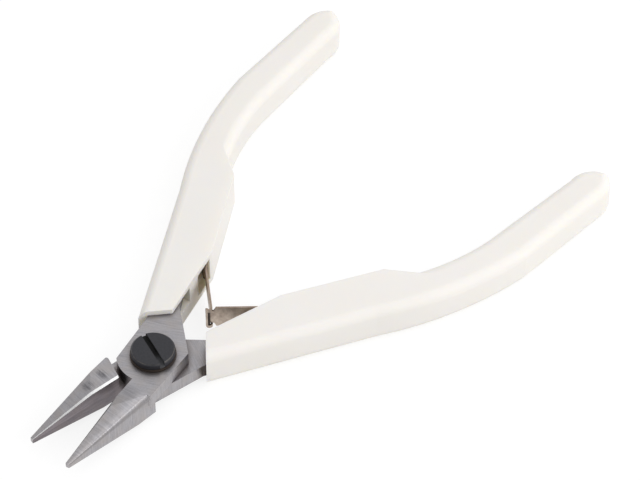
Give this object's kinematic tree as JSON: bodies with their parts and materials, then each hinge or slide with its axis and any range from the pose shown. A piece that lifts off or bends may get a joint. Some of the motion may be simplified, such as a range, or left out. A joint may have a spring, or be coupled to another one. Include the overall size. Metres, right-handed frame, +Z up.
{
  "type": "short-nosed electronics pliers",
  "caption": "Small lap-jointed pliers with short tapered smooth jaws, a slotted pivot screw, moulded grips and interlocking leaf springs that hold them open.",
  "frame": {"origin": "middle of the open tool's footprint, on the surface that it lies on", "axes": "+X from the jaws to the handles along the line between them, +Y to the front lever's handle, +Z up out of the screw's head"},
  "size_m": [0.1144, 0.0728, 0.0084],
  "materials": {
    "lever_steel": "ground and brushed",
    "black_screw": "black oxide, satin",
    "washer_steel": "browned",
    "grip_plastic": "fine moulded satin",
    "spring_steel": "rolled strip"
  },
  "bodies": {
    "rear_half": {"rear_lever": "lever_steel", "rear_grip": "grip_plastic", "pivot_screw": "black_screw", "pivot_washer": "washer_steel"},
    "front_half": {"front_lever": "lever_steel", "front_grip": "grip_plastic"},
    "front_spring": {"front_spring_leaf": "spring_steel"},
    "rear_spring": {"rear_spring_leaf": "spring_steel"}
  },
  "joints": [
    {"name": "pivot", "type": "hinge", "parent": "rear_half", "child": "front_half", "pos_m": [-0.03065, 0, 0.00385], "axis": [0, 0, 1], "range_deg": [-16.8, 0], "stiffness_Nm_per_rad": 1.2, "springref_deg": 1.15},
    {"name": "front_spring_bend", "type": "hinge", "parent": "front_half", "child": "front_spring", "pos_m": [-0.00748, 0.00878, 0.00385], "axis": [0, 0, 1], "range_deg": [-14, 0]},
    {"name": "rear_spring_bend", "type": "hinge", "parent": "rear_half", "child": "rear_spring", "pos_m": [-0.00748, -0.00878, 0.00385], "axis": [0, 0, 1], "range_deg": [0, 14]}
  ],
  "couplings": [
    {"joint": "front_spring_bend", "follows": "pivot", "ratio": 0.79},
    {"joint": "rear_spring_bend", "follows": "pivot", "ratio": -0.79}
  ]
}
